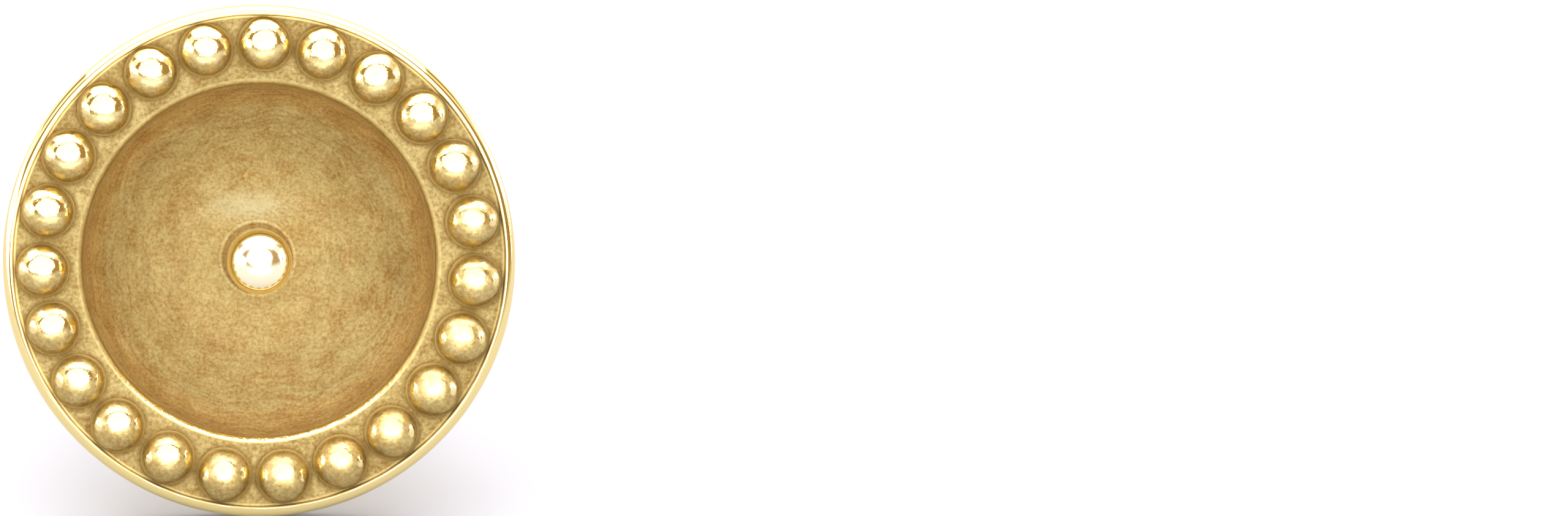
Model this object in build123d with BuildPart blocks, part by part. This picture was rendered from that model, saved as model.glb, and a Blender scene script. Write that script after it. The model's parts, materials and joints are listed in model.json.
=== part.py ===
from build123d import *
import os
from math import asin, atan2, cos, degrees, hypot, pi, radians, sin, sqrt, tan

# A stud earring setting for a half-drilled pearl, in yellow gold: a round cast head with a ring of beads,
# an open cup with a peg in its middle, and a straight ear post behind.
# Millimetres, +Z up. The stud lies on the surface Z = 0 as it rests by itself, on the lower back edge of
# its head and on the tip of its post. Its face looks towards -Y and its post points towards +Y.
# "along" is measured on the stud's axis from the front of the rim towards the post's tip, and "out" is
# measured square to that axis.

# Cup and lip
cup_mouth_radius = 3.25
cup_straight_wall = 0.085
cup_wall = 0.50
lip_round = 0.15

# Beads, which stand on the flange between the lip and the rim
bead_radius = 0.505
bead_spacing = 0.075
bead_lift = 0.035
bead_lead_angle = 1.75
lip_to_bead_gap = 0.095
bead_to_rim_gap = 0.035

# Rim and flange
rim_front_land = 0.02
rim_depth = 1.80
rim_draft_angle = 1.3
rim_front_round = 0.16
rim_back_round = 0.17
flange_recess = 0.22

# Bowl behind the cup
bowl_radius = 5.41
bowl_stand = 0.92
bowl_cone_radius = 1.70
bowl_root_round = 0.12

# Pearl peg
peg_radius = 0.60
peg_stand = 1.31
peg_solder_round = 0.10

# Ear post
post_radius = 0.425
post_length = 11.25
neck_round = 0.30
notch_depth = 0.12
notch_steep_length = 0.40
notch_gentle_length = 0.48
notch_shoulder_round = 0.10
notch_to_tip = 0.95

# Sizes that follow
bead_ring_radius = cup_mouth_radius + lip_round + lip_to_bead_gap + bead_radius
bead_count = int(2 * pi * bead_ring_radius / (2 * bead_radius + bead_spacing))
bead_along = flange_recess - bead_lift
flange_radius = bead_ring_radius + bead_radius + bead_to_rim_gap
rim_front_radius = flange_radius + rim_front_land + rim_front_round
rim_draft = radians(rim_draft_angle)
rim_back_radius = rim_front_radius + rim_depth * tan(rim_draft)
cup_floor_radius = bowl_radius - cup_wall
bowl_centre_along = rim_depth + bowl_stand - bowl_radius

# Inside the cup, one bend leads from the straight wall under the lip into the round floor, tangent to both
cup_bend_along = flange_recess + lip_round + cup_straight_wall
cup_bend_depth = cup_bend_along - bowl_centre_along
cup_bend_radius = (cup_floor_radius**2 - cup_mouth_radius**2 - cup_bend_depth**2) / (
    2 * (cup_floor_radius - cup_mouth_radius)
)
floor_share = cup_floor_radius / (cup_floor_radius - cup_bend_radius)
floor_edge_radius = (cup_mouth_radius - cup_bend_radius) * floor_share


def sphere_along(radius, out):
    """Where a sphere about the bowl's centre stands along the axis, at a distance out from it."""
    return bowl_centre_along + sqrt(radius ** 2 - out ** 2)


bowl_edge_radius = sqrt(bowl_radius ** 2 - (rim_depth - bowl_centre_along) ** 2)
cone_slope = bowl_cone_radius / sqrt(bowl_radius ** 2 - bowl_cone_radius ** 2)
cone_start_along = sphere_along(bowl_radius, bowl_cone_radius)
cone_tip_along = cone_start_along + bowl_cone_radius * cone_slope
neck_along = cone_tip_along - post_radius * cone_slope
wire_root_along = sphere_along(cup_floor_radius, 0) + cup_wall / 2
post_tip_along = neck_along + post_length
tip_centre_along = post_tip_along - post_radius
peg_dome_along = peg_radius - peg_stand

# Resting pose: the floor touches the round of the rim's back edge and the round of the post's tip
edge_along = rim_depth - rim_back_round
edge_out = rim_back_radius - rim_back_round * (tan(rim_draft) + 1 / cos(rim_draft))
edge_to_tip = tip_centre_along - edge_along
tilt = atan2(edge_out, edge_to_tip) - asin((post_radius - rim_back_round) / hypot(edge_out, edge_to_tip))
face_height = rim_back_round + edge_along * sin(tilt) + edge_out * cos(tilt)


def bead_below_axis(index):
    """How far below the stud's axis a bead's centre lies, square to that axis."""
    return -bead_ring_radius * cos(radians(bead_lead_angle + index * 360 / bead_count))


# How far the stud reaches forward and back of its face's centre, along Y
bead_reach = max(map(bead_below_axis, range(bead_count))) * sin(tilt) - bead_along * cos(tilt) + bead_radius
peg_reach = peg_radius - peg_dome_along * cos(tilt)
rim_reach = rim_front_radius * sin(tilt)
front_reach = max(bead_reach, peg_reach, rim_reach)
back_reach = tip_centre_along * cos(tilt) + post_radius

post_way = Vector(0, cos(tilt), -sin(tilt))
face_up = Vector(0, sin(tilt), cos(tilt))
face_centre = Vector(0, (front_reach - back_reach) / 2, face_height)
stud_axis = Axis(face_centre, post_way)
# The stud plane is the rim's front, with X to the right and Y down as the face is seen
stud = Plane(origin=face_centre, x_dir=(1, 0, 0), z_dir=post_way)
# A section is drawn in the upright middle plane, with X out from the axis and Y along it
section = Plane(origin=face_centre, x_dir=face_up, z_dir=(-1, 0, 0))


def corner(sketch, out, along):
    """The corner of a section nearest to a place on it."""
    return sketch.vertices().sort_by_distance(Vector(out, along, 0))[0]


def ring_edge(part, out, along):
    """The round edge of a solid that passes through a place on the section."""
    return part.edges().sort_by_distance(section.from_local_coords((out, along, 0)))[0]


with BuildPart() as cast_head:
    with BuildSketch(section) as head_section:
        floor_edge = (floor_edge_radius, sphere_along(cup_floor_radius, floor_edge_radius))
        cup_bend_end = (cup_mouth_radius, cup_bend_along)
        mouth_edge = (cup_mouth_radius, flange_recess)
        rim_front_edge = (rim_front_radius, 0)
        rim_back_edge = (rim_back_radius, rim_depth)
        bowl_edge = (bowl_edge_radius, rim_depth)
        with BuildLine():
            ThreePointArc(
                (0, sphere_along(cup_floor_radius, 0)),
                (floor_edge_radius / 2, sphere_along(cup_floor_radius, floor_edge_radius / 2)),
                floor_edge,
            )
            TangentArc(cup_bend_end, floor_edge, tangent=(0, 1))
            Polyline(
                cup_bend_end,
                mouth_edge,
                (flange_radius, flange_recess),
                (flange_radius, 0),
                rim_front_edge,
                rim_back_edge,
                bowl_edge,
            )
            bowl_middle = (bowl_edge_radius + bowl_cone_radius) / 2
            ThreePointArc(
                bowl_edge,
                (bowl_middle, sphere_along(bowl_radius, bowl_middle)),
                (bowl_cone_radius, cone_start_along),
            )
            Polyline(
                (bowl_cone_radius, cone_start_along),
                (0, cone_tip_along),
                (0, sphere_along(cup_floor_radius, 0)),
            )
        make_face()
        fillet(corner(head_section, *mouth_edge), lip_round)
        fillet(corner(head_section, *rim_front_edge), rim_front_round)
        fillet(corner(head_section, *rim_back_edge), rim_back_round)
        fillet(corner(head_section, *bowl_edge), bowl_root_round)
    revolve(axis=stud_axis)

with BuildPart(stud.offset(bead_along)) as bead_ring:
    with PolarLocations(bead_ring_radius, bead_count, start_angle=bead_lead_angle - 90):
        Sphere(bead_radius)

with BuildPart() as pearl_peg:
    with BuildSketch(section):
        with BuildLine():
            Polyline((0, -peg_stand), (0, wire_root_along), (peg_radius, wire_root_along))
            Line((peg_radius, wire_root_along), (peg_radius, peg_dome_along))
            TangentArc((peg_radius, peg_dome_along), (0, -peg_stand), tangent=(0, -1))
        make_face()
    revolve(axis=stud_axis)

with BuildPart() as ear_post:
    with BuildSketch(section) as post_section:
        notch_end_along = post_tip_along - notch_to_tip
        notch_root_along = notch_end_along - notch_gentle_length
        notch_start_along = notch_root_along - notch_steep_length
        notch_root = (post_radius - notch_depth, notch_root_along)
        notch_start = (post_radius, notch_start_along)
        notch_end = (post_radius, notch_end_along)
        with BuildLine():
            Polyline((0, post_tip_along), (0, wire_root_along), (post_radius, wire_root_along), notch_start)
            TangentArc(notch_root, notch_start, tangent=(0, -1))
            TangentArc(notch_root, notch_end, tangent=(0, 1))
            Line(notch_end, (post_radius, tip_centre_along))
            TangentArc((post_radius, tip_centre_along), (0, post_tip_along), tangent=(0, 1))
        make_face()
        fillet(corner(post_section, *notch_start), notch_shoulder_round)
        fillet(corner(post_section, *notch_end), notch_shoulder_round)
    revolve(axis=stud_axis)

with BuildPart() as earring_setting:
    add(cast_head.part)
    add(bead_ring.part)
    add(pearl_peg.part)
    add(ear_post.part)
    fillet(ring_edge(earring_setting, post_radius, neck_along), neck_round)
    fillet(ring_edge(earring_setting, peg_radius, sphere_along(cup_floor_radius, peg_radius)), peg_solder_round)
earring_setting.part.label = "earring_setting"

os.makedirs("parts", exist_ok=True)
export_step(earring_setting.part, "parts/earring_setting.step")

print("beads", bead_count, "tilt", round(degrees(tilt), 3), "volume", round(earring_setting.part.volume, 3))
print("face centre", face_centre, "post way", post_way)
print("the peg's round ends at", peg_dome_along, "and the notch starts at", notch_start_along)
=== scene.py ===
import json
from math import acos, asin, atan2, cos, degrees, hypot, pi, radians, sin, sqrt, tan

import bpy
from mathutils import Matrix, Vector


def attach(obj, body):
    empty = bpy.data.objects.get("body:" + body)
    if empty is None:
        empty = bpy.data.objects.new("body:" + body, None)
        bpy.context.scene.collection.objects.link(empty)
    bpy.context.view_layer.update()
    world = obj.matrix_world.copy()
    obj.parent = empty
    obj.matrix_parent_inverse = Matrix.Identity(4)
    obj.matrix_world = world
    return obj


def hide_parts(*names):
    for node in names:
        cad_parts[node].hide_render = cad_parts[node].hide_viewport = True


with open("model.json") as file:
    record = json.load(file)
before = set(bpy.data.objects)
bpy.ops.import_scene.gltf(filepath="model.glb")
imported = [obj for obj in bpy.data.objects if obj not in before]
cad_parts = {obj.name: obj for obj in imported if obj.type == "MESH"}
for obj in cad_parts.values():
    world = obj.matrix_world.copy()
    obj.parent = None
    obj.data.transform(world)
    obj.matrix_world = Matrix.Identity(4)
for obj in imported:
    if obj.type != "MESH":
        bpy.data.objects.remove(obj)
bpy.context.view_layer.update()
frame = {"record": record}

# A stud earring setting in yellow gold: cast head, ring of beads, pearl peg and ear post.
# Each piece is shaped on the bench, in millimetres, with the face up: the stud's axis is Z, X is to the
# right and Y is the top of the face. Then it is set in the frame, in metres.
# "out" is measured from the axis and "along" from the front of the rim backwards, so along is -Z.

# Cup and lip
CUP_MOUTH_RADIUS = 3.25
CUP_STRAIGHT_WALL = 0.085
CUP_WALL = 0.50
LIP_ROUND = 0.15

# Beads. Their profile is drawn finely in front and coarsely behind, where the flange hides it.
BEAD_RADIUS = 0.505
BEAD_RING_RADIUS = 4.00
BEAD_COUNT = 23
BEAD_LEAD_ANGLE = 1.75
BEAD_LIFT = 0.035
BEAD_SQUARENESS = 2.2
BEAD_FRONT_TURNS = [90 - 4 * step for step in range(28)]
BEAD_BACK_TURNS = [-45, -70, -90]

# How the burnisher went over each bead, partly real polish and partly a painted highlight where the lights
# catch it:
# a cap in front, a little above its middle, and a small flank at each side. BURNISH_EDGE says where each
# begins to fade and ends, in shares of its size.
BURNISH_RADIUS = 0.33
BURNISH_RADIUS_RANGE = 0.06
BURNISH_LIFT = 0.13
BURNISH_MEAN = 0.86
BURNISH_RANGE = 0.20
BURNISH_EDGE = (0.5, 1.5)
FLANK_OUT = 0.36
FLANK_LIFT = 0.03
FLANK_WIDTH = 0.07
FLANK_HEIGHT = 0.13

# Rim and flange
FLANGE_RADIUS = 4.54
FLANGE_RECESS = 0.22
FLANGE_CORNER_ROUND = 0.035
RIM_FRONT_WIDTH = 0.18
RIM_DEPTH = 1.80
RIM_DRAFT = radians(1.3)
RIM_FRONT_LEAN = radians(12)
RIM_BACK_ROUND = 0.17
RIM_INNER_ROUND = 0.018

# Bowl behind the cup
BOWL_RADIUS = 5.41
BOWL_STAND = 0.92
BOWL_CONE_RADIUS = 1.70
BOWL_ROOT_ROUND = 0.12

# Pearl peg
PEG_RADIUS = 0.60
PEG_STAND = 1.31
PEG_SOLDER_ROUND = 0.10
PEG_SATIN_HEIGHT = 0.20
PEG_END_TURN = radians(60)

# Ear post
POST_RADIUS = 0.425
POST_LENGTH = 11.25
NECK_ROUND = 0.30
NOTCH_DEPTH = 0.12
NOTCH_STEEP_LENGTH = 0.40
NOTCH_GENTLE_LENGTH = 0.48
NOTCH_SHOULDER_ROUND = 0.10
NOTCH_TO_TIP = 0.95

# Sizes that follow
RIM_FRONT_RADIUS = FLANGE_RADIUS + RIM_FRONT_WIDTH
RIM_BACK_RADIUS = RIM_FRONT_RADIUS + RIM_DEPTH * tan(RIM_DRAFT)
CUP_FLOOR_RADIUS = BOWL_RADIUS - CUP_WALL
BOWL_CENTRE_ALONG = RIM_DEPTH + BOWL_STAND - BOWL_RADIUS
CUP_BEND_ALONG = FLANGE_RECESS + LIP_ROUND + CUP_STRAIGHT_WALL
CUP_BEND_DEPTH = CUP_BEND_ALONG - BOWL_CENTRE_ALONG
CUP_BEND_RADIUS = (CUP_FLOOR_RADIUS**2 - CUP_MOUTH_RADIUS**2 - CUP_BEND_DEPTH**2) / (
    2 * (CUP_FLOOR_RADIUS - CUP_MOUTH_RADIUS)
)
CONE_START_ALONG = BOWL_CENTRE_ALONG + sqrt(BOWL_RADIUS**2 - BOWL_CONE_RADIUS**2)
CONE_SLOPE = BOWL_CONE_RADIUS / (CONE_START_ALONG - BOWL_CENTRE_ALONG)
CONE_TIP_ALONG = CONE_START_ALONG + BOWL_CONE_RADIUS * CONE_SLOPE
NECK_ALONG = CONE_TIP_ALONG - POST_RADIUS * CONE_SLOPE
POST_TIP_ALONG = NECK_ALONG + POST_LENGTH
WIRE_ROOT_ALONG = BOWL_CENTRE_ALONG + CUP_FLOOR_RADIUS + CUP_WALL / 2
PEG_DOME_ALONG = PEG_RADIUS - PEG_STAND
BEAD_ALONG = FLANGE_RECESS - BEAD_LIFT
BEAD_PITCH = 2 * pi / BEAD_COUNT

# Fineness of the turned pieces, and how near two places count as one
HEAD_STEPS = 360
WIRE_STEPS = 96
BEAD_STEPS = 80
SMOOTH_ANGLE = radians(50)
MERGE_DISTANCE = 1e-5
NEARNESS = 0.001

# Real sizes of the surfaces' marks, in millimetres. The finest grain and the bur's strokes are drawn at
# about twice their real size, so that they show.
BUFF_WAVE = 0.9
BUFF_WAVE_HEIGHT = 0.004
CAST_LUMP = 0.16
CAST_LUMP_HEIGHT = 0.016
CAST_LUMP_FADE = 0.08
CAST_GRAIN = 0.07
CAST_GRAIN_HEIGHT = 0.007
CAST_PATCH = 0.35
BEAD_WAVE = 0.40
BEAD_WAVE_HEIGHT = 0.030
RAGGED_EDGE = 0.14
BEAD_DENT_HEIGHT = 0.008
CUP_WAVE = 0.55
CUP_WAVE_HEIGHT = 0.030
CUP_PATCH = 0.60
CUP_WOBBLE = 1.1
CUP_WOBBLE_HEIGHT = 1.2
CUP_GRAIN = 0.06
CUP_GRAIN_HEIGHT = 0.007
BUR_MARK_LENGTH = 0.50
BUR_MARK_WIDTH = 0.06
BUR_MARK_HEIGHT = 0.004
BUR_MARK_SCALE = 0.5
LIP_NICK = 0.11
LIP_NICK_HEIGHT = 0.022
# This width is of the painted highlight along the rim's foot, not of a mark.
RIM_FOOT_HIGHLIGHT_WIDTH = 0.07
# This width is of the painted shade round the beads' feet, not of a mark.
CORNER_SHADE_WIDTH = 0.10
# The next two place the cup's painted sheen, a bright streak, not a mark.
SHEEN_PLACE = (-0.15, 0.95)
SHEEN_SIZE = (1.3, 0.5)
DRAW_LINE_LENGTH = 2.5
DRAW_LINE_WIDTH = 0.05
DRAW_LINE_HEIGHT = 0.0006

# The frame says where the stud lies: the peg's mount is halfway along its straight part
PEG_MOUNT_ALONG = 0.675
MM = 0.001
mounts = {mount["name"]: mount for mount in frame["record"]["mounts"]}
post_way = Vector(mounts["ear_post"]["axis"]).normalized()
face_centre = Vector(mounts["pearl_peg"]["pos_m"]) - post_way * PEG_MOUNT_ALONG * MM
to_right = Vector((1, 0, 0))
to_front = -post_way
to_top = to_front.cross(to_right)
bench_turn = Matrix((to_right, to_top, to_front)).transposed().to_4x4()
bench_to_frame = Matrix.Translation(face_centre) @ bench_turn @ Matrix.Scale(MM, 4)


# Modelling helpers
def clear_selection():
    """Leaves edit mode and selects nothing."""
    if bpy.context.object and bpy.context.object.mode != "OBJECT":
        bpy.ops.object.mode_set(mode="OBJECT")
    bpy.ops.object.select_all(action="DESELECT")


def pick(piece):
    """Selects one piece alone."""
    clear_selection()
    piece.select_set(True)
    bpy.context.view_layer.objects.active = piece


def bench_place(out, along):
    """A place on a profile, as it lies on the bench."""
    return Vector((out, 0, -along))


def arc(centre, radius, start, end, count):
    """Places on a round stretch of a profile. Angles are in degrees, from straight out towards the back."""
    turns = [radians(start + (end - start) * step / count) for step in range(count + 1)]
    return [(centre[0] + radius * cos(turn), centre[1] + radius * sin(turn)) for turn in turns]


def straight(start, end, count):
    """Places on a straight stretch of a profile, without its two ends."""
    shares = [step / count for step in range(1, count)]
    return [tuple(a + (b - a) * share for a, b in zip(start, end)) for share in shares]


def turned(name, profile, steps):
    """A solid turned on the stud's axis: one point is drawn along the profile and then spun all the way."""
    clear_selection()
    bpy.ops.mesh.primitive_plane_add(size=1)
    piece = bpy.context.object
    piece.name = name
    bpy.ops.object.mode_set(mode="EDIT")
    bpy.ops.mesh.select_all(action="SELECT")
    bpy.ops.mesh.merge(type="CENTER")
    bpy.ops.transform.translate(value=bench_place(*profile[0]))
    for here, there in zip(profile, profile[1:]):
        step = bench_place(*there) - bench_place(*here)
        bpy.ops.mesh.extrude_vertices_move(TRANSFORM_OT_translate={"value": step})
    bpy.ops.mesh.select_all(action="SELECT")
    bpy.ops.mesh.spin(steps=steps, angle=2 * pi, center=(0, 0, 0), axis=(0, 0, 1))
    bpy.ops.mesh.select_all(action="SELECT")
    bpy.ops.mesh.remove_doubles(threshold=MERGE_DISTANCE)
    bpy.ops.mesh.normals_make_consistent(inside=False)
    bpy.ops.object.mode_set(mode="OBJECT")
    return piece


def roughened(piece, name, grain, height, share):
    """Raises and sinks a surface in lumps of a size, as the mould or the hand left it, where share says."""
    texture = bpy.data.textures.new(name, type="CLOUDS")
    texture.noise_scale = grain
    texture.noise_depth = 2
    group = piece.vertex_groups.new(name=name)
    for point in piece.data.vertices:
        how_much = share(point.co)
        if how_much > 0:
            group.add([point.index], how_much, "REPLACE")
    relief = piece.modifiers.new(name, "DISPLACE")
    relief.texture = texture
    relief.texture_coords = "LOCAL"
    relief.strength = height
    relief.mid_level = 0.5
    relief.vertex_group = name
    pick(piece)
    bpy.ops.object.modifier_apply(modifier=name)


def eased(value, low, high):
    """Rises softly from 0 at low to 1 at high."""
    share = min(1, max(0, (value - low) / (high - low)))
    return share * share * (3 - 2 * share)


def set_in_frame(piece, materials):
    """Moves a finished piece from the bench to its place in the frame and gives it its finishes."""
    pick(piece)
    piece.matrix_world = bench_to_frame @ piece.matrix_world
    bpy.ops.object.transform_apply(location=True, rotation=True, scale=True)
    bpy.ops.object.shade_smooth_by_angle(angle=SMOOTH_ANGLE)
    for material in materials:
        piece.data.materials.append(material)
    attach(piece, "root")
    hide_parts("earring_setting")


# Shader helpers
def linear(hex_colour):
    """The linear colour, with alpha, of an sRGB hex value."""
    channels = [int(hex_colour[place:place + 2], 16) / 255 for place in (1, 3, 5)]
    return [c / 12.92 if c <= 0.04045 else ((c + 0.055) / 1.055) ** 2.4 for c in channels] + [1]


def add_node(tree, kind, links=None, **settings):
    """Adds one shader node: settings are its properties, links are sockets or plain values for its inputs.

    A colour Mix node has several sockets of one name, so they are given by number: 6 and 7 are its two
    colours, and its output 2 is the mixed colour.
    """
    made = tree.nodes.new(kind)
    for name, value in settings.items():
        setattr(made, name, value)
    for name, value in (links or {}).items():
        if isinstance(value, bpy.types.NodeSocket):
            tree.links.new(value, made.inputs[name])
        else:
            made.inputs[name].default_value = value
    return made


def new_material(name):
    """An empty node material's tree and its output."""
    material = bpy.data.materials.new(name)
    material.use_nodes = True
    material.node_tree.nodes.clear()
    output = add_node(material.node_tree, "ShaderNodeOutputMaterial")
    return material, material.node_tree, output


def bench_coordinates(tree):
    """The surface's place on the bench, in millimetres, from its Object coordinates."""
    back_turn = bench_turn.transposed()
    where = add_node(tree, "ShaderNodeTexCoord")
    mapping = add_node(
        tree, "ShaderNodeMapping",
        {"Vector": where.outputs["Object"], "Location": back_turn @ (-face_centre / MM),
         "Rotation": back_turn.to_euler(), "Scale": (1 / MM, 1 / MM, 1 / MM)})
    return mapping.outputs["Vector"]


def round_the_axis(tree, place):
    """How far out a place is, its way out from the axis as a unit vector, and its bench Z."""
    parts = add_node(tree, "ShaderNodeSeparateXYZ", {"Vector": place})
    flat = add_node(tree, "ShaderNodeCombineXYZ", {"X": parts.outputs["X"], "Y": parts.outputs["Y"]})
    out = add_node(tree, "ShaderNodeVectorMath", {0: flat.outputs[0]}, operation="LENGTH")
    way = add_node(tree, "ShaderNodeVectorMath", {0: flat.outputs[0]}, operation="NORMALIZE")
    return out.outputs["Value"], way.outputs["Vector"], parts.outputs["Z"]


# The finishes' colours
GOLD = "#E3CF8E"
# A paler gold, painted as a highlight on the peg's end and on the lip's brightest part
PALE_HIGHLIGHT_GOLD = "#F6ECC8"
SATIN_GOLD = "#AB9E6B"
DULL_SATIN_GOLD = "#8C6D3B"
# A lighter satin gold for the painted sheen above the peg
SHEEN_SATIN_GOLD = "#ACA37D"
# Painted light: the next two give the cup's wall a lighter, yellower gold, for warm light bounced inside
# the cup
WARM_LIT_WALL_GOLD = "#DAC387"
DULL_WARM_LIT_WALL_GOLD = "#B38F56"
TUMBLED_GOLD = "#A59663"
CAST_GOLD = "#7B6233"
# Painted shade: the brown painted into the corners round the beads' feet
CORNER_SHADE_BROWN = "#6C5226"
BEAD_GOLD = "#C2AF76"
DULL_BEAD_GOLD = "#A2864A"

# Their roughness
POLISHED_ROUGHNESS = 0.06
PEG_ROUGHNESS = 0.16
WIRE_ROUGHNESS = 0.08
CAST_ROUGHNESS = 0.62
RUBBED_ROUGHNESS = 0.14
BEAD_ROUGHNESS = 0.42
BURNISHED_ROUGHNESS = 0.09
BEAD_SIDE_ROUGHNESS = 0.28
SATIN_ROUGHNESS = 0.55
SOLDER_ROUGHNESS = 0.90

# A SPAN is where a thing begins and where it is full, and a SHARE is how much a thing counts.
# The cast skin has soft lumps beside its grain, and their sum gives its tone.
CAST_LUMP_SHARE = 0.6
CAST_TONE_SPAN = (0.58, 1.02)

# The lip is bright from wear, and near the foot of the face a painted highlight makes it brightest: its top
# is 1 here and its foot -1. Where its share passes the pale highlight's start, its gold is painted paler
# too, as a painted highlight.
LIP_HIGHLIGHT_SPAN = (-0.4, -0.85)
LEAST_WORN = 0.35
PALE_HIGHLIGHT_START = 0.7
LIP_SPAN = (CUP_MOUTH_RADIUS + 0.9 * LIP_ROUND, CUP_MOUTH_RADIUS + 0.5 * LIP_ROUND)

# The flange's edge along the rim's foot gets a painted highlight, brightest at the upper left, where a
# place's way up less its way to the right is largest
FOOT_SPAN = (FLANGE_RADIUS - RIM_FOOT_HIGHLIGHT_WIDTH, FLANGE_RADIUS - RIM_FOOT_HIGHLIGHT_WIDTH / 3)
UPPER_LEFT_SPAN = (-0.6, 0.4)
LEAST_FOOT_HIGHLIGHT = 0.45

# The painted shade in the flange's corners comes in patches, thin ones and thick ones
CORNER_SHADE_PATCH_SPAN = (0.35, 0.65)
CORNER_SHADE_SHARES = (0.3, 0.9)

# A bead is bright where raggedness and burnish add up. Its side, near the flange, is painted lighter, a
# painted
# highlight, and made rougher: it begins between two heights on the bench.
RAGGED_SHARE = 0.5
BURNISHED_SPAN = (0.60, 1.10)
BEAD_SIDE_SPAN = (0.08, -0.05)
BEAD_SIDE_SHARE = 0.6
BEAD_GRAIN_STRENGTH = 0.7
BURNISHED_GRAIN_STRENGTH = 0.16

# The cup has patches and a painted sheen, a bright streak, beside its grain, and their sum gives its tone.
# Out from the axis its strokes and its wall begin, and inwards the solder round the peg.
CUP_PATCH_SHARE = 0.65
SHEEN_SHARE = 0.24
NOISE_MEAN = 0.5
CUP_TONE_SPAN = (0.585, 1.065)
STROKE_SPAN = (1.0, 2.8)
STROKE_SHARES = (0.1, 0.7)
WALL_SPAN = (2.7, 3.2)
SOLDER_SPAN = (PEG_RADIUS + PEG_SOLDER_ROUND / 2, PEG_RADIUS)


def polished_gold(name, colour, roughness):
    """Fourteen carat yellow gold, turned, filed and buffed: a mirror with the faint waves of the buff."""
    material, tree, output = new_material(name)
    place = bench_coordinates(tree)
    waves = add_node(tree, "ShaderNodeTexNoise", {"Vector": place, "Scale": 1 / BUFF_WAVE, "Detail": 2.0})
    bump = add_node(
        tree, "ShaderNodeBump",
        {"Height": waves.outputs["Fac"], "Strength": 0.5, "Distance": BUFF_WAVE_HEIGHT * MM})
    shader = add_node(
        tree, "ShaderNodeBsdfPrincipled",
        {"Base Color": linear(colour), "Metallic": 1.0, "Roughness": roughness,
         "Normal": bump.outputs["Normal"]})
    tree.links.new(shader.outputs[0], output.inputs["Surface"])
    return material


def drawn_gold_wire():
    """Gold wire pulled through a draw plate and polished: bright, with hair lines along its length."""
    material, tree, output = new_material("drawn_14ct_gold_wire")
    place = bench_coordinates(tree)
    stretched = add_node(
        tree, "ShaderNodeMapping",
        {"Vector": place, "Scale": (1 / DRAW_LINE_WIDTH, 1 / DRAW_LINE_WIDTH, 1 / DRAW_LINE_LENGTH)})
    lines = add_node(
        tree, "ShaderNodeTexNoise", {"Vector": stretched.outputs[0], "Scale": 1.0, "Detail": 2.0})
    bump = add_node(
        tree, "ShaderNodeBump",
        {"Height": lines.outputs["Fac"], "Strength": 0.6, "Distance": DRAW_LINE_HEIGHT * MM})
    shader = add_node(
        tree, "ShaderNodeBsdfPrincipled",
        {"Base Color": linear(GOLD), "Metallic": 1.0, "Roughness": WIRE_ROUGHNESS,
         "Normal": bump.outputs["Normal"]})
    tree.links.new(shader.outputs[0], output.inputs["Surface"])
    return material


def cast_skin(tree, place, low, high):
    """The skin that the mould leaves, fine grain on soft lumps: its height, and its colour, low to high."""
    grain = add_node(
        tree, "ShaderNodeTexNoise",
        {"Vector": place, "Scale": 1 / CAST_GRAIN, "Detail": 3.0, "Roughness": 0.6})
    lumps = add_node(tree, "ShaderNodeTexNoise", {"Vector": place, "Scale": 1 / CAST_PATCH, "Detail": 2.0})
    both = add_node(
        tree, "ShaderNodeMath", {0: lumps.outputs["Fac"], 1: CAST_LUMP_SHARE, 2: grain.outputs["Fac"]},
        operation="MULTIPLY_ADD")
    colour = add_node(
        tree, "ShaderNodeMapRange",
        {"Value": both.outputs[0], "From Min": CAST_TONE_SPAN[0], "From Max": CAST_TONE_SPAN[1]})
    mottled = add_node(
        tree, "ShaderNodeMix", {"Factor": colour.outputs[0], 6: linear(low), 7: linear(high)},
        data_type="RGBA")
    return grain.outputs["Fac"], mottled.outputs[2]


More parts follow.
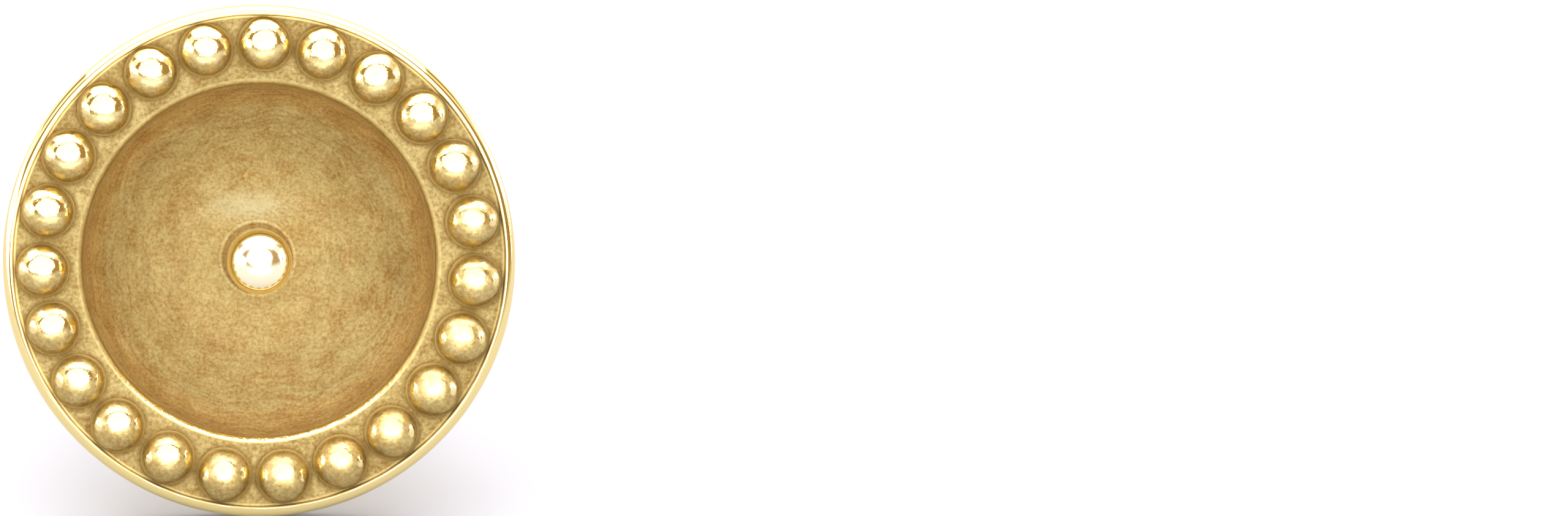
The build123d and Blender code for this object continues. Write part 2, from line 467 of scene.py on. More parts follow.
def as_cast_gold():
    """Gold as the mould left it, tumbled but not polished: matt and sandy, bright from wear on the lip,
    with a painted highlight low on the lip and along the rim's foot, and painted shade in brown where its
    attribute marks the corners round the beads' feet."""
    material, tree, output = new_material("as_cast_14ct_gold")
    place = bench_coordinates(tree)
    out, way = round_the_axis(tree, place)[:2]
    height, skin = cast_skin(tree, place, CAST_GOLD, TUMBLED_GOLD)

    # How much wear the lip has, with a painted highlight that grows towards the face's foot
    upward = add_node(tree, "ShaderNodeSeparateXYZ", {"Vector": way})
    wear_and_highlight = add_node(
        tree, "ShaderNodeMapRange",
        {"Value": upward.outputs["Y"], "From Min": LIP_HIGHLIGHT_SPAN[0], "From Max": LIP_HIGHLIGHT_SPAN[1],
         "To Min": LEAST_WORN},
        interpolation_type="SMOOTHSTEP")
    lip = add_node(
        tree, "ShaderNodeMapRange",
        {"Value": out, "From Min": LIP_SPAN[0], "From Max": LIP_SPAN[1], "To Max": wear_and_highlight.outputs[0]},
        interpolation_type="SMOOTHSTEP")

    # How much painted highlight the flange's edge gets along the rim's foot
    foot = add_node(
        tree, "ShaderNodeMapRange",
        {"Value": out, "From Min": FOOT_SPAN[0], "From Max": FOOT_SPAN[1]},
        interpolation_type="SMOOTHSTEP")
    sideways = add_node(
        tree, "ShaderNodeMath", {0: upward.outputs["Y"], 1: upward.outputs["X"]}, operation="SUBTRACT")
    upper_left = add_node(
        tree, "ShaderNodeMapRange",
        {"Value": sideways.outputs[0], "From Min": UPPER_LEFT_SPAN[0], "From Max": UPPER_LEFT_SPAN[1],
         "To Min": LEAST_FOOT_HIGHLIGHT},
        interpolation_type="SMOOTHSTEP")
    foot_highlight = add_node(
        tree, "ShaderNodeMath", {0: foot.outputs[0], 1: upper_left.outputs[0]}, operation="MULTIPLY")

    # How much painted shade darkens the corners round the beads' feet, and then all three over the cast
    # skin
    corners = add_node(tree, "ShaderNodeAttribute", attribute_name="painted_corner_shade")
    patches = add_node(
        tree, "ShaderNodeTexNoise", {"Vector": place, "Scale": 1 / CAST_PATCH, "Detail": 3.0})
    patchy = add_node(
        tree, "ShaderNodeMapRange",
        {"Value": patches.outputs["Fac"], "From Min": CORNER_SHADE_PATCH_SPAN[0],
         "From Max": CORNER_SHADE_PATCH_SPAN[1], "To Min": CORNER_SHADE_SHARES[0], "To Max": CORNER_SHADE_SHARES[1]})
    dark = add_node(
        tree, "ShaderNodeMath", {0: corners.outputs["Fac"], 1: patchy.outputs[0]}, operation="MULTIPLY")
    shaded_corners = add_node(
        tree, "ShaderNodeMix",
        {"Factor": dark.outputs[0], 6: skin, 7: linear(CORNER_SHADE_BROWN)}, data_type="RGBA")
    highlighted_foot = add_node(
        tree, "ShaderNodeMix",
        {"Factor": foot_highlight.outputs[0], 6: shaded_corners.outputs[2], 7: linear(GOLD)}, data_type="RGBA")
    polished_and_highlighted_lip = add_node(
        tree, "ShaderNodeMix",
        {"Factor": lip.outputs[0], 6: highlighted_foot.outputs[2], 7: linear(GOLD)}, data_type="RGBA")
    # Painted highlight: the lip's brightest part is painted paler still
    pale_highlight = add_node(tree, "ShaderNodeMapRange", {"Value": lip.outputs[0], "From Min": PALE_HIGHLIGHT_START})
    colour = add_node(
        tree, "ShaderNodeMix",
        {"Factor": pale_highlight.outputs[0], 6: polished_and_highlighted_lip.outputs[2], 7: linear(PALE_HIGHLIGHT_GOLD)},
        data_type="RGBA")
    roughness = add_node(
        tree, "ShaderNodeMapRange",
        {"Value": lip.outputs[0], "To Min": CAST_ROUGHNESS, "To Max": RUBBED_ROUGHNESS})
    nicks = add_node(tree, "ShaderNodeTexNoise", {"Vector": place, "Scale": 1 / LIP_NICK, "Detail": 3.0})
    nicked = add_node(
        tree, "ShaderNodeBump",
        {"Height": nicks.outputs["Fac"], "Strength": lip.outputs[0], "Distance": LIP_NICK_HEIGHT * MM})
    bump = add_node(
        tree, "ShaderNodeBump",
        {"Height": height, "Strength": 0.8, "Distance": CAST_GRAIN_HEIGHT * MM,
         "Normal": nicked.outputs["Normal"]})
    shader = add_node(
        tree, "ShaderNodeBsdfPrincipled",
        {"Base Color": colour.outputs[2], "Metallic": 1.0, "Roughness": roughness.outputs[0],
         "Normal": bump.outputs["Normal"]})
    tree.links.new(shader.outputs[0], output.inputs["Surface"])
    return material


def bead_gold():
    """A cast bead: gone over with a burnisher by hand, partly real polish and partly a painted highlight,
    where its attribute says so, and elsewhere the mould's grain; its side is painted lighter.
    """
    material, tree, output = new_material("cast_14ct_gold_polish_and_highlight")
    place = bench_coordinates(tree)
    front = round_the_axis(tree, place)[2]
    height, skin = cast_skin(tree, place, DULL_BEAD_GOLD, BEAD_GOLD)

    # How bright the burnisher left a place, partly real polish and partly painted highlight, with a ragged
    # edge, and how much the bead's side is painted lighter
    reached = add_node(tree, "ShaderNodeAttribute", attribute_name="polish_and_highlight")
    ragged = add_node(
        tree, "ShaderNodeTexNoise", {"Vector": place, "Scale": 1 / RAGGED_EDGE, "Detail": 3.0})
    reach = add_node(
        tree, "ShaderNodeMath", {0: ragged.outputs["Fac"], 1: RAGGED_SHARE, 2: reached.outputs["Fac"]},
        operation="MULTIPLY_ADD")
    bright = add_node(
        tree, "ShaderNodeMapRange",
        {"Value": reach.outputs[0], "From Min": BURNISHED_SPAN[0], "From Max": BURNISHED_SPAN[1]},
        interpolation_type="SMOOTHSTEP")
    # Painted highlight: the bead's side is made lighter gold
    side = add_node(
        tree, "ShaderNodeMapRange",
        {"Value": front, "From Min": BEAD_SIDE_SPAN[0], "From Max": BEAD_SIDE_SPAN[1],
         "To Max": BEAD_SIDE_SHARE},
        interpolation_type="SMOOTHSTEP")
    clean_and_lit = add_node(
        tree, "ShaderNodeMath", {0: bright.outputs[0], 1: side.outputs[0]}, operation="MAXIMUM")

    # The burnish and the side's painted highlight bring out the gold; the burnish smooths the grain away
    # and leaves faint dents
    colour = add_node(
        tree, "ShaderNodeMix", {"Factor": clean_and_lit.outputs[0], 6: skin, 7: linear(GOLD)}, data_type="RGBA")
    cap_roughness = add_node(
        tree, "ShaderNodeMapRange",
        {"Value": bright.outputs[0], "To Min": BEAD_ROUGHNESS, "To Max": BURNISHED_ROUGHNESS})
    roughness = add_node(
        tree, "ShaderNodeMath",
        {0: side.outputs[0], 1: BEAD_SIDE_ROUGHNESS, 2: cap_roughness.outputs[0]},
        operation="MULTIPLY_ADD")
    strength = add_node(
        tree, "ShaderNodeMapRange",
        {"Value": bright.outputs[0], "To Min": BEAD_GRAIN_STRENGTH, "To Max": BURNISHED_GRAIN_STRENGTH})
    dents = add_node(
        tree, "ShaderNodeBump",
        {"Height": ragged.outputs["Fac"], "Strength": 0.8, "Distance": BEAD_DENT_HEIGHT * MM})
    bump = add_node(
        tree, "ShaderNodeBump",
        {"Height": height, "Strength": strength.outputs[0], "Distance": CAST_GRAIN_HEIGHT * MM,
         "Normal": dents.outputs["Normal"]})
    shader = add_node(
        tree, "ShaderNodeBsdfPrincipled",
        {"Base Color": colour.outputs[2], "Metallic": 1.0, "Roughness": roughness.outputs[0],
         "Normal": bump.outputs["Normal"]})
    tree.links.new(shader.outputs[0], output.inputs["Surface"])
    return material


def satin_gold():
    """The cup's inside, cleaned with a bur and left satin: mottled, with the bur's strokes round it."""
    material, tree, output = new_material("satin_14ct_gold")
    place = bench_coordinates(tree)
    out, way, front = round_the_axis(tree, place)
    patches = add_node(
        tree, "ShaderNodeTexNoise",
        {"Vector": place, "Scale": 1 / CUP_PATCH, "Detail": 5.0, "Roughness": 0.65})
    grain = add_node(
        tree, "ShaderNodeTexNoise",
        {"Vector": place, "Scale": 1 / CUP_GRAIN, "Detail": 3.0, "Roughness": 0.6})

    # The strokes run round the cup: they are long in the way round and narrow in the way down the wall, and
    # they wander a little up and down it
    wobble = add_node(tree, "ShaderNodeTexNoise", {"Vector": place, "Scale": 1 / CUP_WOBBLE, "Detail": 1.0})
    round_it = add_node(
        tree, "ShaderNodeVectorMath", {0: way, "Scale": CUP_MOUTH_RADIUS / BUR_MARK_LENGTH},
        operation="SCALE")
    down_wall = add_node(tree, "ShaderNodeMath", {0: out, 1: front}, operation="ADD")
    wandering = add_node(
        tree, "ShaderNodeMath",
        {0: wobble.outputs["Fac"], 1: CUP_WOBBLE_HEIGHT, 2: down_wall.outputs[0]},
        operation="MULTIPLY_ADD")
    narrow = add_node(
        tree, "ShaderNodeMath", {0: wandering.outputs[0], 1: 1 / BUR_MARK_WIDTH}, operation="MULTIPLY")
    depth = add_node(tree, "ShaderNodeCombineXYZ", {"Z": narrow.outputs[0]})
    along_marks = add_node(
        tree, "ShaderNodeVectorMath", {0: round_it.outputs[0], 1: depth.outputs[0]}, operation="ADD")
    marks = add_node(
        tree, "ShaderNodeTexNoise",
        {"Vector": along_marks.outputs[0], "Scale": BUR_MARK_SCALE, "Detail": 4.0, "Roughness": 0.65})
    near_wall = add_node(
        tree, "ShaderNodeMapRange",
        {"Value": out, "From Min": STROKE_SPAN[0], "From Max": STROKE_SPAN[1],
         "To Min": STROKE_SHARES[0], "To Max": STROKE_SHARES[1]})

    # A painted sheen: a bright streak is painted above the peg
    from_sheen = add_node(
        tree, "ShaderNodeVectorMath", {0: place, 1: (*SHEEN_PLACE, 0)}, operation="SUBTRACT")
    stretched = add_node(
        tree, "ShaderNodeVectorMath",
        {0: from_sheen.outputs[0], 1: (1 / SHEEN_SIZE[0], 1 / SHEEN_SIZE[1], 0)},
        operation="MULTIPLY")
    away = add_node(tree, "ShaderNodeVectorMath", {0: stretched.outputs[0]}, operation="LENGTH")
    sheen = add_node(
        tree, "ShaderNodeMapRange", {"Value": away.outputs["Value"], "From Min": 1.0, "From Max": 0.0},
        interpolation_type="SMOOTHSTEP")

    # Patches, the painted sheen, grain and strokes add up to how light a place is. The strokes lift it or
    # lower it.
    patches_eased = add_node(
        tree, "ShaderNodeMath", {0: patches.outputs["Fac"], 1: CUP_PATCH_SHARE}, operation="MULTIPLY")
    tone = add_node(
        tree, "ShaderNodeMath", {0: sheen.outputs[0], 1: SHEEN_SHARE, 2: patches_eased.outputs[0]},
        operation="MULTIPLY_ADD")
    grained = add_node(
        tree, "ShaderNodeMath", {0: grain.outputs["Fac"], 1: tone.outputs[0]}, operation="ADD")
    stroked = add_node(
        tree, "ShaderNodeMath", {0: marks.outputs["Fac"], 1: near_wall.outputs[0]}, operation="MULTIPLY")
    level = add_node(
        tree, "ShaderNodeMath", {0: near_wall.outputs[0], 1: -NOISE_MEAN, 2: grained.outputs[0]},
        operation="MULTIPLY_ADD")
    summed = add_node(
        tree, "ShaderNodeMath", {0: stroked.outputs[0], 1: level.outputs[0]}, operation="ADD")
    share = add_node(
        tree, "ShaderNodeMapRange",
        {"Value": summed.outputs[0], "From Min": CUP_TONE_SPAN[0], "From Max": CUP_TONE_SPAN[1]})

    # Up the wall the gold is painted lighter and yellower, a painted warm light bounced inside the cup; the
    # solder round the peg takes the same gold, and on the solder it is rougher
    wall = add_node(
        tree, "ShaderNodeMapRange", {"Value": out, "From Min": WALL_SPAN[0], "From Max": WALL_SPAN[1]},
        interpolation_type="SMOOTHSTEP")
    solder = add_node(
        tree, "ShaderNodeMapRange", {"Value": out, "From Min": SOLDER_SPAN[0], "From Max": SOLDER_SPAN[1]},
        interpolation_type="SMOOTHSTEP")
    steep = add_node(tree, "ShaderNodeMath", {0: wall.outputs[0], 1: solder.outputs[0]}, operation="ADD")
    roughness = add_node(
        tree, "ShaderNodeMapRange",
        {"Value": solder.outputs[0], "To Min": SATIN_ROUGHNESS, "To Max": SOLDER_ROUGHNESS})
    dull = add_node(
        tree, "ShaderNodeMix",
        {"Factor": steep.outputs[0], 6: linear(DULL_SATIN_GOLD), 7: linear(DULL_WARM_LIT_WALL_GOLD)},
        data_type="RGBA")
    floor_tone_and_sheen = add_node(
        tree, "ShaderNodeMix",
        {"Factor": sheen.outputs[0], 6: linear(SATIN_GOLD), 7: linear(SHEEN_SATIN_GOLD)},
        data_type="RGBA")
    clean_and_lit = add_node(
        tree, "ShaderNodeMix",
        {"Factor": steep.outputs[0], 6: floor_tone_and_sheen.outputs[2], 7: linear(WARM_LIT_WALL_GOLD)}, data_type="RGBA")
    colour = add_node(
        tree, "ShaderNodeMix", {"Factor": share.outputs[0], 6: dull.outputs[2], 7: clean_and_lit.outputs[2]},
        data_type="RGBA")
    mark_bump = add_node(
        tree, "ShaderNodeBump",
        {"Height": marks.outputs["Fac"], "Strength": near_wall.outputs[0],
         "Distance": BUR_MARK_HEIGHT * MM})
    bump = add_node(
        tree, "ShaderNodeBump",
        {"Height": grain.outputs["Fac"], "Strength": 0.6, "Distance": CUP_GRAIN_HEIGHT * MM,
         "Normal": mark_bump.outputs["Normal"]})
    shader = add_node(
        tree, "ShaderNodeBsdfPrincipled",
        {"Base Color": colour.outputs[2], "Metallic": 1.0, "Roughness": roughness.outputs[0],
         "Normal": bump.outputs["Normal"]})
    tree.links.new(shader.outputs[0], output.inputs["Surface"])
    return material


polished = polished_gold("polished_14ct_gold", GOLD, POLISHED_ROUGHNESS)
# The peg's end is polished, and its paler gold is a painted highlight.
peg_polish_and_highlight = polished_gold("pearl_peg_end_gold_with_painted_highlight", PALE_HIGHLIGHT_GOLD, PEG_ROUGHNESS)
wire = drawn_gold_wire()
as_cast = as_cast_gold()
polish_and_highlight = bead_gold()
satin = satin_gold()


# Cast head
def head_profile():
    """The cast head from the cup's floor, over its lip, flange and rim, to the point of its cone.

    The last number of each stretch is how many steps it is drawn in.
    """
    draft = degrees(RIM_DRAFT)
    bowl_centre = (0, BOWL_CENTRE_ALONG)
    bend_start = degrees(acos((CUP_MOUTH_RADIUS - CUP_BEND_RADIUS) / (CUP_FLOOR_RADIUS - CUP_BEND_RADIUS)))
    bend_centre = (CUP_MOUTH_RADIUS - CUP_BEND_RADIUS, CUP_BEND_ALONG)
    lip_centre = (CUP_MOUTH_RADIUS + LIP_ROUND, FLANGE_RECESS + LIP_ROUND)
    flange_corner = (FLANGE_RADIUS - FLANGE_CORNER_ROUND, FLANGE_RECESS - FLANGE_CORNER_ROUND)
    lean = degrees(RIM_FRONT_LEAN)
    # One wide round leads over the rim's front, from a tight one at its inner edge to the drafted wall
    inner_round = (FLANGE_RADIUS + RIM_INNER_ROUND, RIM_INNER_ROUND * cos(RIM_FRONT_LEAN))
    front_width = RIM_FRONT_WIDTH - RIM_INNER_ROUND * (1 + sin(RIM_FRONT_LEAN))
    width_share = 1 / cos(RIM_DRAFT) - sin(RIM_FRONT_LEAN) - cos(RIM_FRONT_LEAN) * tan(RIM_DRAFT)
    front_round = front_width / width_share
    front_depth = front_round * cos(RIM_FRONT_LEAN)
    front_centre = (
        RIM_FRONT_RADIUS + front_depth * tan(RIM_DRAFT) - front_round / cos(RIM_DRAFT),
        front_depth,
    )
    back_centre = (
        RIM_BACK_RADIUS - RIM_BACK_ROUND * (tan(RIM_DRAFT) + 1 / cos(RIM_DRAFT)),
        RIM_DEPTH - RIM_BACK_ROUND,
    )
    root_depth = RIM_DEPTH + BOWL_ROOT_ROUND - BOWL_CENTRE_ALONG
    root_out = sqrt((BOWL_RADIUS + BOWL_ROOT_ROUND) ** 2 - root_depth**2)
    root_centre = (root_out, RIM_DEPTH + BOWL_ROOT_ROUND)
    bowl_start = degrees(atan2(root_depth, root_out))
    cone_start = degrees(acos(BOWL_CONE_RADIUS / BOWL_RADIUS))
    points = arc(bowl_centre, CUP_FLOOR_RADIUS, 90, bend_start, 60)
    points += arc(bend_centre, CUP_BEND_RADIUS, bend_start, 0, 22)[1:]
    points += straight(points[-1], (CUP_MOUTH_RADIUS, lip_centre[1]), 3)
    points += arc(lip_centre, LIP_ROUND, 180, 270, 8)
    points += straight(points[-1], (flange_corner[0], FLANGE_RECESS), 24)
    points += arc(flange_corner, FLANGE_CORNER_ROUND, 90, 0, 5)
    points += straight(points[-1], (FLANGE_RADIUS, inner_round[1]), 4)
    points += arc(inner_round, RIM_INNER_ROUND, 180, 270 + lean, 3)
    points += arc(front_centre, front_round, 270 + lean, 360 - draft, 12)[1:]
    points += straight(points[-1], arc(back_centre, RIM_BACK_ROUND, -draft, 90, 1)[0], 8)
    points += arc(back_centre, RIM_BACK_ROUND, -draft, 90, 12)
    points += straight(points[-1], (root_out, RIM_DEPTH), 5)
    points += arc(root_centre, BOWL_ROOT_ROUND, 270, 180 + bowl_start, 5)
    points += arc(bowl_centre, BOWL_RADIUS, bowl_start, cone_start, 20)[1:]
    points += straight(points[-1], (0, CONE_TIP_ALONG), 6)
    points += [(0, CONE_TIP_ALONG)]
    return points


def on_flange(place):
    """How much of a place on the head is flange or lip: all between the cup and the rim's foot."""
    out = hypot(place.x, place.y)
    if place.z < -FLANGE_RECESS - LIP_ROUND or out > FLANGE_RADIUS + RIM_INNER_ROUND:
        return 0
    return eased(out, CUP_MOUTH_RADIUS, CUP_MOUTH_RADIUS + CAST_LUMP_FADE)


def in_cup(place):
    """Whether a place on the head is in the cup: within its mouth, before the middle of its wall."""
    out = hypot(place.x, place.y)
    wall_middle = CUP_FLOOR_RADIUS + CUP_WALL / 2
    behind = BOWL_CENTRE_ALONG + sqrt(wall_middle**2 - min(out, CUP_MOUTH_RADIUS) ** 2)
    return out < CUP_MOUTH_RADIUS + NEARNESS and -place.z < behind


def waved_by_bur(place):
    """How much the bur has waved a place on the head: in the cup, but not round the peg or at the lip."""
    if not in_cup(place) or place.z > -CUP_BEND_ALONG + CUP_STRAIGHT_WALL:
        return 0
    return eased(hypot(place.x, place.y), PEG_RADIUS + PEG_SOLDER_ROUND, 2 * PEG_RADIUS)


def bead_middle(number):
    """Where a bead's middle lies on the bench. Bead 0 is at the top, and they go round clockwise."""
    angle = radians(BEAD_LEAD_ANGLE) + number * BEAD_PITCH
    return Vector((BEAD_RING_RADIUS * sin(angle), BEAD_RING_RADIUS * cos(angle), -BEAD_ALONG))


def painted_corner_shade(place):
    """How much painted shade a place on the flange gets: most in the corner round each bead's foot."""
    nearest = bead_middle(round((atan2(place.x, place.y) - radians(BEAD_LEAD_ANGLE)) / BEAD_PITCH))
    away = hypot(place.x - nearest.x, place.y - nearest.y) - BEAD_RADIUS
    return 1 - eased(away, 0, CORNER_SHADE_WIDTH)


def head_finish(place):
    """The finish of a place on the head."""
    if on_flange(place) > 0:
        return as_cast
    return satin if in_cup(place) else polished


head_finishes = [polished, as_cast, satin]
head = turned("head", head_profile(), HEAD_STEPS)
# Painted shade: how much of that brown each point of the head gets
corners = head.data.attributes.new("painted_corner_shade", "FLOAT", "POINT")
for point, corner in zip(head.data.vertices, corners.data):
    corner.value = painted_corner_shade(point.co)
for face in head.data.polygons:
    face.material_index = head_finishes.index(head_finish(face.center))
roughened(head, "casting_lumps", CAST_LUMP, CAST_LUMP_HEIGHT, on_flange)
roughened(head, "bur_waves", CUP_WAVE, CUP_WAVE_HEIGHT, waved_by_bur)
set_in_frame(head, head_finishes)


# Pearl peg
def peg_profile():
    """The pearl peg from its round end, down its side and its solder, into the cup's floor."""
    solder_out = PEG_RADIUS + PEG_SOLDER_ROUND
    solder_depth = sqrt((CUP_FLOOR_RADIUS - PEG_SOLDER_ROUND) ** 2 - solder_out**2)
    solder_centre = (solder_out, BOWL_CENTRE_ALONG + solder_depth)
    solder_end = degrees(atan2(solder_depth, solder_out))
    points = arc((0, PEG_DOME_ALONG), PEG_RADIUS, 270, 360, 24)
    points += straight(points[-1], (PEG_RADIUS, solder_centre[1]), 24)
    points += arc(solder_centre, PEG_SOLDER_ROUND, 180, solder_end, 6)
    points += [(points[-1][0], WIRE_ROOT_ALONG), (0, WIRE_ROOT_ALONG)]
    return points


def peg_finish(place):
    """The finish of a place on the peg: polished, with a pale painted highlight, on the end of its dome,
    and satin from its solder down.
    """
    if place.z > -PEG_DOME_ALONG + PEG_RADIUS * cos(PEG_END_TURN):
        return peg_polish_and_highlight
    above_satin = place.z > -BOWL_CENTRE_ALONG - CUP_FLOOR_RADIUS + PEG_SATIN_HEIGHT
    return wire if above_satin and hypot(place.x, place.y) < PEG_RADIUS + NEARNESS else satin


peg_finishes = [peg_polish_and_highlight, wire, satin]
peg = turned("pearl_peg", peg_profile(), WIRE_STEPS)
for face in peg.data.polygons:
    face.material_index = peg_finishes.index(peg_finish(face.center))
set_in_frame(peg, peg_finishes)


# Ear post
def post_profile():
    """The ear post from inside the bowl, over its neck and notch, to its round tip."""
    neck_out = POST_RADIUS + NECK_ROUND
    neck_centre = (neck_out, CONE_TIP_ALONG - CONE_SLOPE * neck_out + NECK_ROUND * sqrt(1 + CONE_SLOPE**2))
    neck_start = 180 + degrees(atan2(1, CONE_SLOPE))
    notch_end = POST_TIP_ALONG - NOTCH_TO_TIP
    notch_root = notch_end - NOTCH_GENTLE_LENGTH
    shoulder_out = POST_RADIUS - NOTCH_SHOULDER_ROUND
    steep, gentle = [
        (NOTCH_DEPTH**2 + length**2) / (2 * NOTCH_DEPTH)
        for length in (NOTCH_STEEP_LENGTH, NOTCH_GENTLE_LENGTH)]
    steep_reach, gentle_reach = [
        sqrt((radius + NOTCH_SHOULDER_ROUND) ** 2 - (radius + NOTCH_SHOULDER_ROUND - NOTCH_DEPTH) ** 2)
        for radius in (steep, gentle)]
    steep_turn = degrees(asin(steep_reach / (steep + NOTCH_SHOULDER_ROUND)))
    gentle_turn = degrees(asin(gentle_reach / (gentle + NOTCH_SHOULDER_ROUND)))
    root_out = POST_RADIUS - NOTCH_DEPTH
    points = [(0, WIRE_ROOT_ALONG)]
    points += arc(neck_centre, NECK_ROUND, neck_start, 180, 14)
    points += straight(points[-1], (POST_RADIUS, notch_root - steep_reach), 60)
    points += arc((shoulder_out, notch_root - steep_reach), NOTCH_SHOULDER_ROUND, 0, steep_turn, 5)
    points += arc((root_out + steep, notch_root), steep, 180 + steep_turn, 180, 10)[1:]
    points += arc((root_out + gentle, notch_root), gentle, 180, 180 - gentle_turn, 12)[1:]
    points += arc((shoulder_out, notch_root + gentle_reach), NOTCH_SHOULDER_ROUND, -gentle_turn, 0, 5)[1:]
    points += straight(points[-1], (POST_RADIUS, POST_TIP_ALONG - POST_RADIUS), 6)
    points += arc((0, POST_TIP_ALONG - POST_RADIUS), POST_RADIUS, 0, 90, 20)
    return points


post = turned("ear_post", post_profile(), WIRE_STEPS)
set_in_frame(post, [wire])


# Beads
def bead_profile():
    """A bead from its front to its back, a little flattened in front by the burnishing."""
    points = []
    for turn in BEAD_FRONT_TURNS + BEAD_BACK_TURNS:
        across = abs(cos(radians(turn))) ** (2 / BEAD_SQUARENESS)
        height = abs(sin(radians(turn))) ** (2 / BEAD_SQUARENESS)
        points += [(BEAD_RADIUS * across, -BEAD_RADIUS * height if turn > 0 else BEAD_RADIUS * height)]
    return points


def burnish(bead, middle):
    """Marks how far the burnisher went over each place on a bead, partly real polish and partly a painted
    highlight: its cap, more on the upper beads and most at the upper left, where the lights catch it, and
    its two flanks."""
    marks = bead.data.attributes.new("polish_and_highlight", "FLOAT", "POINT")
    towards_upper_left = (middle.y - middle.x) / (sqrt(2) * BEAD_RING_RADIUS)
    # Painted highlight: the burnish is made keener towards the upper left of the face
    polish_and_highlight_strength = BURNISH_MEAN + BURNISH_RANGE * towards_upper_left
    cap_radius = BURNISH_RADIUS + BURNISH_RADIUS_RANGE * middle.y / BEAD_RING_RADIUS
    for point, mark in zip(bead.data.vertices, marks.data):
        if point.co.z > middle.z:
            across, up = point.co.x - middle.x, point.co.y - middle.y
            cap = 1 - eased(hypot(across, up - BURNISH_LIFT) / cap_radius, *BURNISH_EDGE)
            beside = hypot((abs(across) - FLANK_OUT) / FLANK_WIDTH, (up - FLANK_LIFT) / FLANK_HEIGHT)
            flank = 1 - eased(beside, *BURNISH_EDGE)
            mark.value = max(polish_and_highlight_strength * cap, flank)


first_bead = turned("bead_01", bead_profile(), BEAD_STEPS)
beads = [first_bead]
for number in range(2, BEAD_COUNT + 1):
    pick(first_bead)
    bpy.ops.object.duplicate()
    bpy.context.object.name = f"bead_{number:02d}"
    beads.append(bpy.context.object)
for number, bead in enumerate(beads):
    pick(bead)
    middle = bead_middle(number)
    bead.location = middle
    bpy.ops.object.transform_apply(location=True, rotation=True, scale=True)
    burnish(bead, middle)
    roughened(bead, f"hand_waves_{number + 1:02d}", BEAD_WAVE, BEAD_WAVE_HEIGHT, lambda place: 1)
    set_in_frame(bead, [polish_and_highlight])


# The floor that the stud lies on, and the studio light. Distances and the floor's size are in metres.
FLOOR_SIZE = 1.2
LIGHT_DISTANCE = 0.40
CARD_DISTANCE = 0.36
FLOOR_GLOW_HEIGHT = 0.2 * MM
STUDIO_WHITE = "#F1F4FF"
FLOOR_GREY = "#A8AAAE"
CARD_BROWN = "#6E5A3C"
MATT_ROUGHNESS = 0.9

clear_selection()
bpy.ops.mesh.primitive_plane_add(size=FLOOR_SIZE)
floor = bpy.context.object
floor.name = "floor"
floor_material, floor_tree, floor_output = new_material("pale_matt_floor")
floor_shader = add_node(
    floor_tree, "ShaderNodeBsdfPrincipled",
    {"Base Color": linear(FLOOR_GREY), "Roughness": MATT_ROUGHNESS})
floor_tree.links.new(floor_shader.outputs[0], floor_output.inputs["Surface"])
floor.data.materials.append(floor_material)


def direction(azimuth, elevation):
    """The way from the stud to a place round it: azimuth 0 is in front, 90 to the right."""
    a, e = radians(azimuth), radians(elevation)
    return Vector((sin(a) * cos(e), -cos(a) * cos(e), sin(e)))


def area_light(name, shape, wide, high, radiance):
    """A flat light of a size in metres, as bright as radiance says, that the camera doesn't see."""
    light = bpy.data.lights.new(name, "AREA")
    light.shape = shape
    light.color = linear(STUDIO_WHITE)[:3]
    light.size = wide
    light.size_y = high
    light.energy = radiance * pi * wide * high * (pi / 4 if shape == "ELLIPSE" else 1)
    lamp = bpy.data.objects.new(name, light)
    bpy.context.scene.collection.objects.link(lamp)
    lamp.visible_camera = False
    return lamp


def seen_size(degrees_wide, distance):
    """How wide a thing at a distance is in metres, when the stud sees it so many degrees wide."""
    return 2 * distance * tan(radians(degrees_wide / 2))


def turn_to_stud(thing, azimuth, elevation, distance):
    """Sets a light or a card at a distance and turns it to the stud."""
    way = direction(azimuth, elevation)
    thing.location = face_centre + way * distance
    thing.rotation_mode = "QUATERNION"
    thing.rotation_quaternion = (-way).to_track_quat("-Z", "Y")


def softbox(name, azimuth, elevation, wide, high, radiance, shape="RECTANGLE"):
    """A light turned to the stud. Its size is given in degrees, as the stud sees it."""
    lamp = area_light(
        name, shape, seen_size(wide, LIGHT_DISTANCE), seen_size(high, LIGHT_DISTANCE), radiance)
    turn_to_stud(lamp, azimuth, elevation, LIGHT_DISTANCE)


def floor_glow(across, near, far, radiance):
    """A light that lies on the floor in front of the stud and shines up at the beads' lower halves.

    Its size is given in millimetres: across the front, and its nearest and farthest edge from the face.
    """
    lamp = area_light("floor_glow", "ELLIPSE", across * MM, (far - near) * MM, radiance)
    lamp.location = (0, face_centre.y - (near + far) / 2 * MM, FLOOR_GLOW_HEIGHT)
    lamp.rotation_euler = (pi, 0, 0)


floor_glow(across=46, near=11, far=60, radiance=1.2)
softbox("overhead", azimuth=0, elevation=108, wide=86, high=66, radiance=3.5)
softbox("front", azimuth=-2, elevation=38, wide=88, high=68, radiance=3.3, shape="ELLIPSE")
softbox("front_low", azimuth=10, elevation=14, wide=60, high=30, radiance=2.8, shape="ELLIPSE")
softbox("left", azimuth=-86, elevation=13, wide=66, high=24, radiance=3.6)
softbox("right", azimuth=104, elevation=13, wide=46, high=24, radiance=3.6)
softbox("right_upper", azimuth=95, elevation=40, wide=24, high=30, radiance=1.0)
softbox("left_upper", azimuth=-94, elevation=46, wide=24, high=40, radiance=1.9)
softbox("back", azimuth=180, elevation=18, wide=110, high=32, radiance=1.4)

card_material, card_tree, card_output = new_material("dark_card")
card_shader = add_node(
    card_tree, "ShaderNodeBsdfPrincipled",
    {"Base Color": linear(CARD_BROWN), "Roughness": MATT_ROUGHNESS})
card_tree.links.new(card_shader.outputs[0], card_output.inputs["Surface"])


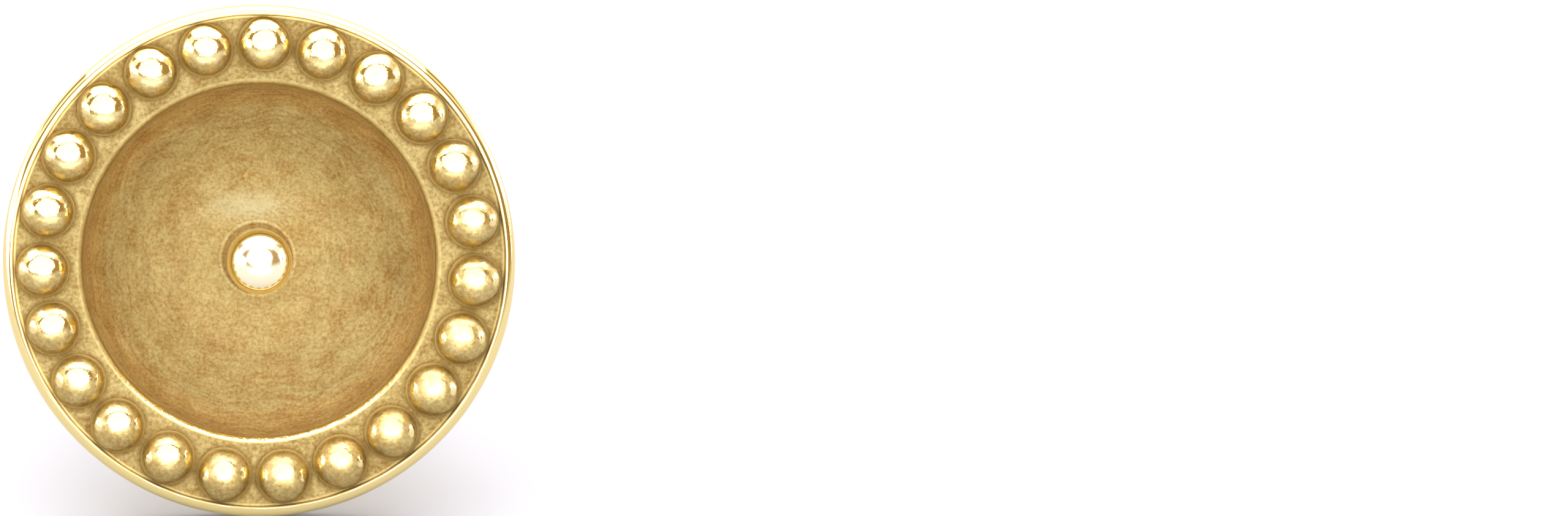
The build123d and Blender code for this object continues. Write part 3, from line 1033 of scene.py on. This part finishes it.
def dark_card(name, azimuth, elevation, wide, high):
    """A dark card in front of a light, to draw a dark line in polished gold. Only reflections see it."""
    clear_selection()
    bpy.ops.mesh.primitive_plane_add(size=1)
    card = bpy.context.object
    card.name = name
    card.scale = (seen_size(wide, CARD_DISTANCE), seen_size(high, CARD_DISTANCE), 1)
    turn_to_stud(card, azimuth, elevation, CARD_DISTANCE)
    card.data.materials.append(card_material)
    card.visible_camera = False
    card.visible_diffuse = False
    card.visible_shadow = False


dark_card("card_right", azimuth=92, elevation=7, wide=8, high=11)
dark_card("card_left", azimuth=-90, elevation=9, wide=3, high=16)

# The room beyond the lights is a warm brown, and pale down at the horizon. The heights run from 0, level,
# to 1, straight up.
HORIZON_WHITE = "#FAF8F5"
HORIZON_TOP = 0.03
ROOM_BROWN = "#C09E70"
ROOM_FOOT = 0.14

world = bpy.data.worlds.new("studio")
bpy.context.scene.world = world
world.use_nodes = True
world_tree = world.node_tree
world_way = add_node(world_tree, "ShaderNodeTexCoord")
world_parts = add_node(world_tree, "ShaderNodeSeparateXYZ", {"Vector": world_way.outputs["Generated"]})
world_colour = add_node(world_tree, "ShaderNodeValToRGB", {"Fac": world_parts.outputs["Z"]})
horizon, room = world_colour.color_ramp.elements
horizon.position = HORIZON_TOP
horizon.color = linear(HORIZON_WHITE)
room.position = ROOM_FOOT
room.color = linear(ROOM_BROWN)
world_tree.links.new(world_colour.outputs["Color"], world_tree.nodes["Background"].inputs["Color"])

# The camera looks as the photograph's face view does, with the head at the left of the frame. The head's
# centre is given in pixels of the photograph, and the angles are in degrees.
IMAGE_WIDTH = 2560
IMAGE_HEIGHT = 843
HEAD_CENTRE_X = 423.2
HEAD_CENTRE_Y = 426.2
MM_PER_PIXEL = 0.01128
LENS = 400
CAMERA_AZIMUTH = -0.9
CAMERA_ELEVATION = 21.1

camera_data = bpy.data.cameras.new("camera")
camera = bpy.data.objects.new("camera", camera_data)
bpy.context.scene.collection.objects.link(camera)
bpy.context.scene.camera = camera
camera_data.lens = LENS
camera_data.shift_x = 0.5 - HEAD_CENTRE_X / IMAGE_WIDTH
camera_data.shift_y = (HEAD_CENTRE_Y - IMAGE_HEIGHT / 2) / IMAGE_WIDTH
view_way = direction(CAMERA_AZIMUTH, CAMERA_ELEVATION)
view_distance = IMAGE_WIDTH * MM_PER_PIXEL * MM * LENS / camera_data.sensor_width
camera.location = face_centre + view_way * view_distance
camera.rotation_mode = "QUATERNION"
camera.rotation_quaternion = (-view_way).to_track_quat("-Z", "Y")
camera_data.clip_start = view_distance / 10
camera_data.clip_end = view_distance * 20
bpy.context.scene.view_settings.view_transform = "Standard"
